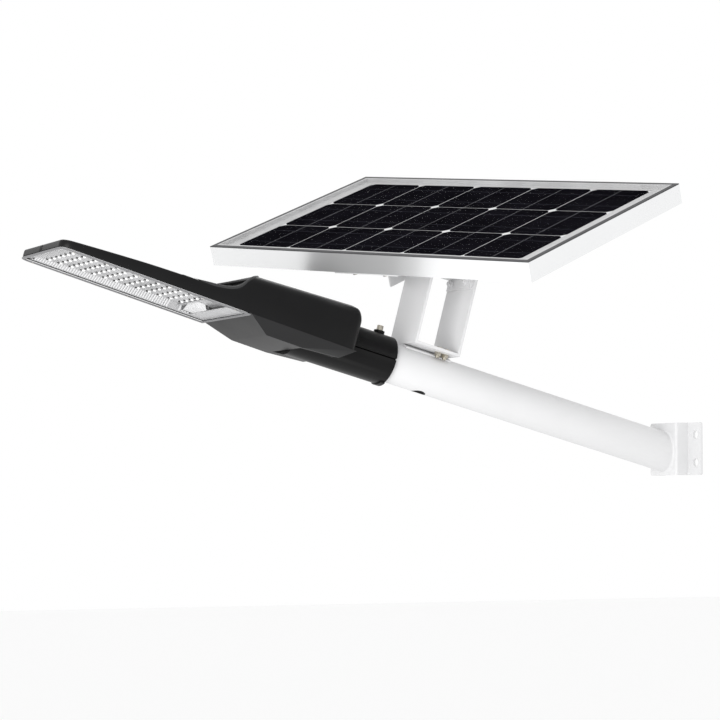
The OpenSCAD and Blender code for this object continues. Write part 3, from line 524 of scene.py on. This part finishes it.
def reflector_tray():
    """The long walls, the slope at the front, the strips beside the board and the plate at its rear end."""
    apron_y = (-83, -40, 0, 40, 83)
    strip_rise, strip_y0 = 2, 54
    wall_top = TRAY_FAR - WALL_LEAN
    plate_u0, plate_u1, plate_w0, plate_w1 = 178, 228, -8.5, -7.5
    plate_hw = TRAY_FAR - 2
    bm = bmesh.new()
    for y in (-1, 1):
        side_wall(bm, y)
    apron = ((HEAD_U1 - WALL_T - 1, LENS_IN), (HEAD_U1 - 8, LENS_IN + 0.2), (TRAY_U1 + 2, LENS_IN + 1.2),
             (TRAY_U1, board_w(TRAY_U1) + 0.6))
    grid_faces(bm, [[bm.verts.new((u, y, w)) for y in apron_y] for u, w in apron])
    for ys in ((-wall_top, -strip_y0), (strip_y0, wall_top)):
        strip = [[bm.verts.new((u, y, board_w(u) + strip_rise)) for y in ys] for u in (TRAY_U0, TRAY_U1)]
        grid_faces(bm, strip)
    add_box(bm, plate_u0, plate_u1, -plate_hw, plate_hw, plate_w0, plate_w1)
    piece("reflector_tray", bm, "reflector", "lamp_head", ["reflector"], None, HEAD)


MARGIN_HW, MARGIN_U0, MARGIN_T = 84, 181, 0.6


def tray_margin():
    """The smooth pale margin behind the light window and along both its sides."""
    window_u0, side_u1 = TRAY_U0 - 3, HEAD_U1 - 14
    w0, w1 = LENS_IN, LENS_IN + MARGIN_T
    bm = bmesh.new()
    add_box(bm, MARGIN_U0, window_u0, -MARGIN_HW, MARGIN_HW, w0, w1)
    add_box(bm, window_u0, side_u1, TRAY_NEAR, MARGIN_HW, w0, w1)
    add_box(bm, window_u0, side_u1, -MARGIN_HW, -TRAY_FAR, w0, w1)
    bevel_all(bm, 0.25)
    piece("tray_margin", bm, "reflector", "lamp_head", (), MARGIN, HEAD)


def margin_bead():
    """The thin bead along the margin's rear edge and the light window's near edge, lighter than the margin as a
    painted highlight.
    """
    half = 0.6
    w0, w1 = LENS_IN - 0.2, LENS_IN + 0.5
    bm = bmesh.new()
    add_box(bm, MARGIN_U0 - 1, MARGIN_U0, -MARGIN_HW, MARGIN_HW, w0, w1)
    add_box(bm, TRAY_U0 - 2, TRAY_U1, TRAY_NEAR - half, TRAY_NEAR + half, w0, w1)
    bevel_all(bm, 0.2)
    piece("margin_bead", bm, "reflector", "lamp_head", (), RIB_PALE_AND_HIGHLIGHT, HEAD)


def rear_fittings():
    """The pale cover of the wire entry and the flutes beside it, behind the last row of emitters, with dark strips
    of painted shadow in the gaps round the cover.
    """
    flutes, cover, dark = bmesh.new(), bmesh.new(), bmesh.new()
    top, gap_top, foot = -5, -8, LENS_IN + 0.1
    flute_u, flute_pitch, flute_l, flute_y0, flute_y1, flute_lean = 208, 4.6, 2.6, -76, -71, 8
    for i in range(4):
        u = flute_u + flute_pitch * i
        for v in add_box(flutes, u, u + flute_l, flute_y0, flute_y1, foot, top):
            if v.co.z == top:
                v.co.y += flute_lean
    u0, u1, y0, y1 = 206.5, 222, -60, -8
    front_lean, rear_lean, narrowing, shift = 4, 9, 0.55, 4
    for v in add_box(cover, u0, u1, y0, y1, LENS_IN + 0.3, top):
        if v.co.z == top:
            v.co.x += front_lean if v.co.x == u1 else rear_lean
            v.co.y = v.co.y * narrowing + shift
    # painted shadow: dark strips along the cover's rear end and far side, where the gaps are in shade
    border = 4
    add_box(dark, u0 - 1.1, u0 - 0.1, y0 - border, y1 + border, foot, gap_top)
    add_box(dark, u0 - 0.5, u1 + 2, y0 - border, y0 - border + 1.4, foot, gap_top)
    bevel_all(flutes, 0.9, 3)
    bevel_all(cover, 2.0, 3)
    bevel_all(dark, 0.3)
    # the flutes in the lighter rib colour as a painted highlight; the cover in it as its own pale colour
    piece("corner_flutes", flutes, "reflector", "lamp_head", (), RIB_PALE_AND_HIGHLIGHT, HEAD)
    piece("wire_entry_cover", cover, "sheet_white", "lamp_head", (), RIB_PALE_AND_HIGHLIGHT, HEAD)
    piece("wire_entry_painted_shadow", dark, "reflector", "lamp_head", (), GAP_PAINTED_SHADOW, HEAD)


# ---------- arm ----------
TUBE_R, WEB_X = 30.0, 26.0


def weld_bead():
    """The hollow fillet, with a slight ripple, round the tube where it meets the bracket's web."""
    bead_r, ripple, ripple_count = 3.6, 0.015, 40
    around, arc_steps = 240, 8
    rise = math.acos(arm_dir.x)
    centre_z = arm_origin.z / MM + WEB_X * math.tan(rise)
    bm = bmesh.new()
    rows = []
    for i in range(around):
        a = math.tau * i / around
        out = Vector((0, math.cos(a), math.sin(a) / math.cos(rise)))
        r = bead_r * (1 - ripple + ripple * math.sin(a * ripple_count))
        row = []
        for k in range(arc_steps + 1):
            b = math.pi / 2 * k / arc_steps
            x = r * (1 - math.sin(b))
            on_axis = Vector((WEB_X + x, 0, centre_z + x * math.tan(rise)))
            row.append(bm.verts.new(on_axis + out * (TUBE_R + r * (1 - math.cos(b)))))
        rows.append(row)
    grid_faces(bm, rows + rows[:1])
    to_metres = Matrix.Diagonal((MM, MM, MM, 1))
    piece("weld_bead", bm, "white_paint", "arm", ["arm_weld"], None, to_metres, sharp=math.pi)


# ---------- solar panel ----------
# the frame's outside, the height of its front face, its lip; the outer band of the lip, dark as painted shade
PANEL_L, PANEL_W, FRONT_Z, LIP_W, LIP_T = 604.0, 365.0, 63.0, 11.0, 1.8
EDGE_OUT, EDGE_LIP = 0.03, 7.5
GLASS_T = 3.2
GLASS_BOTTOM = FRONT_Z - LIP_T - GLASS_T
# cells: the block they fill, the cut corners, and the gap between two cells
CELL_COLS, CELL_ROWS, CELL_PITCH = 5, 3, 110.5
BLOCK_L, BLOCK_W, NOTCH, CELL_GAP = 538.5, 320.7, 6.5, 2.0


def cell_edges(count, block):
    """The lines between cells along one side of the block, from end to end."""
    return [-block / 2] + [(i - count / 2) * CELL_PITCH for i in range(1, count)] + [block / 2]


def cell_outline(x0, x1, y0, y1):
    """A cell's outline with its corners cut off."""
    n = NOTCH
    return [(x0 + n, y0), (x1 - n, y0), (x1, y0 + n), (x1, y1 - n),
            (x1 - n, y1), (x0 + n, y1), (x0, y1 - n), (x0, y0 + n)]


def solar_cells():
    """Wafers under the glass, each with a bright split across its middle and two busbars."""
    z, wafer_t = GLASS_BOTTOM - 0.12, 0.3
    split_hw, split_t, bar_hw, bar_t, bar_end = 0.55, 0.04, 0.6, 0.05, 1
    cells, lines, bars = bmesh.new(), bmesh.new(), bmesh.new()
    xs, ys = cell_edges(CELL_COLS, BLOCK_L), cell_edges(CELL_ROWS, BLOCK_W)
    gap = CELL_GAP / 2
    for left, right in zip(xs, xs[1:]):
        for near, far in zip(ys, ys[1:]):
            x0, x1, y0, y1 = left + gap, right - gap, near + gap, far - gap
            outline = cell_outline(x0, x1, y0, y1)
            low = [cells.verts.new((x, y, z - wafer_t)) for x, y in outline]
            top = [cells.verts.new((x, y, z)) for x, y in outline]
            grid_faces(cells, [low, top], close=True)
            cells.faces.new(low[::-1])
            cells.faces.new(top)
            mid = (x0 + x1) / 2
            add_box(lines, mid - split_hw, mid + split_hw, y0, y1, z, z + split_t)
            for part in (0.25, 0.75):
                y = y0 + (y1 - y0) * part
                add_box(bars, x0 + bar_end, x1 - bar_end, y - bar_hw, y + bar_hw, z, z + bar_t)
    piece("silicon_wafers", cells, "cell", "panel", ["solar_cells"], None, PANEL)
    piece("cell_splits", lines, "cell", "panel", (), SILVER, PANEL)
    piece("cell_ribbons", bars, "cell", "panel", (), BUSBAR, PANEL)


def inset_frame(inset, z):
    """The frame's outline drawn in by an inset, as half length, half width and height."""
    return PANEL_L / 2 - inset, PANEL_W / 2 - inset, z


def frame_edge():
    """The outer band of the frame's lip, with the chamfer and the top of the side below it, in dark grey as
    painted shade on the pale frame metal.
    """
    side_h, chamfer = 1.4, 0.45
    lip_z = FRONT_Z + EDGE_OUT / 2
    bm = bmesh.new()
    add_rectangles(bm, [inset_frame(-EDGE_OUT, FRONT_Z - side_h), inset_frame(-EDGE_OUT, FRONT_Z - chamfer),
                        inset_frame(chamfer, lip_z), inset_frame(EDGE_LIP, lip_z)])
    piece("frame_edge_painted_shade", bm, "frame_metal", "panel", (), EDGE_PAINTED_SHADE, PANEL, sharp=FLAT)


def frame_lip():
    """The lip's inner part and inner face, and the pale sheet from there to the cells; the grey on the inner face
    is painted light over the shaded channel wall.
    """
    lip_z, sheet_z = FRONT_Z + EDGE_OUT / 2, GLASS_BOTTOM - 0.2
    bm = bmesh.new()
    add_rectangles(bm, [inset_frame(EDGE_LIP, lip_z), inset_frame(LIP_W, lip_z),
                        inset_frame(LIP_W + 0.05, sheet_z), (BLOCK_L / 2, BLOCK_W / 2, sheet_z)])
    piece("frame_lip", bm, "frame_metal", "panel", (), LIP_GREY_AND_PAINTED_LIGHT, PANEL, sharp=FLAT)


def sleeve_split_shade():
    """Flat black strips in the two splits of the clamp sleeve, as painted shade in the gaps."""
    s0, s1, half = 522, 638, 1.15
    inner, outer = TUBE_R + 0.1, TUBE_R + 4.6
    bm = bmesh.new()
    for y0, y1 in ((-outer, -inner), (inner, outer)):
        add_box(bm, s0, s1, y0, y1, -half, half)
    bevel_all(bm, 0.2)
    piece("sleeve_split_shade", bm, "rubber", "lamp_head", (), SPLIT_PAINTED_SHADE, ARM)


housing()
light_board()
reflector_tray()
tray_margin()
rear_fittings()
dish_rim()
ribs()
margin_bead()
weld_bead()
solar_cells()
frame_edge()
frame_lip()
sleeve_split_shade()
# how far each CAD node's sharp edges are rounded, in millimetres
ROUNDED = {
    "wall_bracket": 1.1, "panel_stand": 1.1, "saddle_shoe": 0.5, "saddle_bolts": 0.3, "saddle_nuts": 0.3,
    "cable_grommet": 0.4,
    "swivel_plate": 0.9, "swivel_plate_screws": 0.3, "swivel_bolt": 0.5, "swivel_nut": 0.4,
    "tilt_cradle": 0.8, "tilt_bolts": 0.4, "tilt_nuts": 0.4, "tilt_lock_bolt": 0.3,
    "panel_bracket": 0.8, "bracket_bolts": 0.25,
    "frame_rail_front": 0.4, "frame_rail_back": 0.4, "frame_rail_left": 0.4, "frame_rail_right": 0.4,
    "junction_box": 1.0, "junction_box_lid": 0.8, "junction_box_glands": 0.4,
    "lower_cover": 1.0, "cover_screws": 0.3, "lens_frame": 0.35, "lens_screws": 0.2,
    "clamp_upper": 0.8, "clamp_lower": 0.8, "clamp_set_bolt": 0.6, "clamp_screws": 0.2,
}
for name, radius in ROUNDED.items():
    soften(name, radius)


# ---------- camera, fitted to the photo ----------
CAMERA_POS = Vector((2.1269, 3.2357, -0.0795))
CAMERA_AZIMUTH = math.radians(153.94)
CAMERA_PITCH = math.radians(3.24)
CAMERA_LENS = 124.5


def make_camera():
    data = bpy.data.cameras.new("camera")
    cam = bpy.data.objects.new("camera", data)
    bpy.context.scene.collection.objects.link(cam)
    cam.location = CAMERA_POS
    cam.rotation_euler = (math.pi / 2 + CAMERA_PITCH, 0, CAMERA_AZIMUTH)
    data.lens = CAMERA_LENS
    data.sensor_width = 36
    data.clip_end = 60
    bpy.context.scene.camera = cam


# ---------- studio ----------
FLOOR_Z, FLOOR_SIZE = -1.6, 30
ROOM_LIGHT = 1.0


def make_floor():
    mesh = bpy.data.meshes.new("floor")
    bm = bmesh.new()
    bmesh.ops.create_grid(bm, x_segments=2, y_segments=2, size=FLOOR_SIZE)
    bm.to_mesh(mesh)
    bm.free()
    floor = bpy.data.objects.new("floor", mesh)
    bpy.context.scene.collection.objects.link(floor)
    floor.location.z = FLOOR_Z
    m = new_material("pale_floor", (0.96, 0.96, 0.96), 0.9)
    mesh.materials.append(m)


def area_light(name, place, target, size, power):
    data = bpy.data.lights.new(name, "AREA")
    data.shape = "RECTANGLE"
    data.size, data.size_y = size
    data.energy = power
    o = bpy.data.objects.new(name, data)
    bpy.context.scene.collection.objects.link(o)
    o.location = place
    o.rotation_euler = (Vector(target) - Vector(place)).to_track_quat("-Z", "Y").to_euler()


def make_studio():
    world = bpy.data.worlds.new("studio")
    bpy.context.scene.world = world
    world.use_nodes = True
    back = world.node_tree.nodes["Background"]
    back.inputs["Color"].default_value = (1, 1, 1, 1)
    back.inputs["Strength"].default_value = ROOM_LIGHT
    area_light("key", (1.5, 0.8, 0.0), (0.5, 0, 0.2), (0.8, 0.8), 13)
    area_light("top", (0.8, 0.6, 1.9), (0.5, 0, 0.15), (1.2, 1.2), 6)


make_camera()
make_floor()
make_studio()
bpy.context.scene.view_settings.view_transform = "Standard"
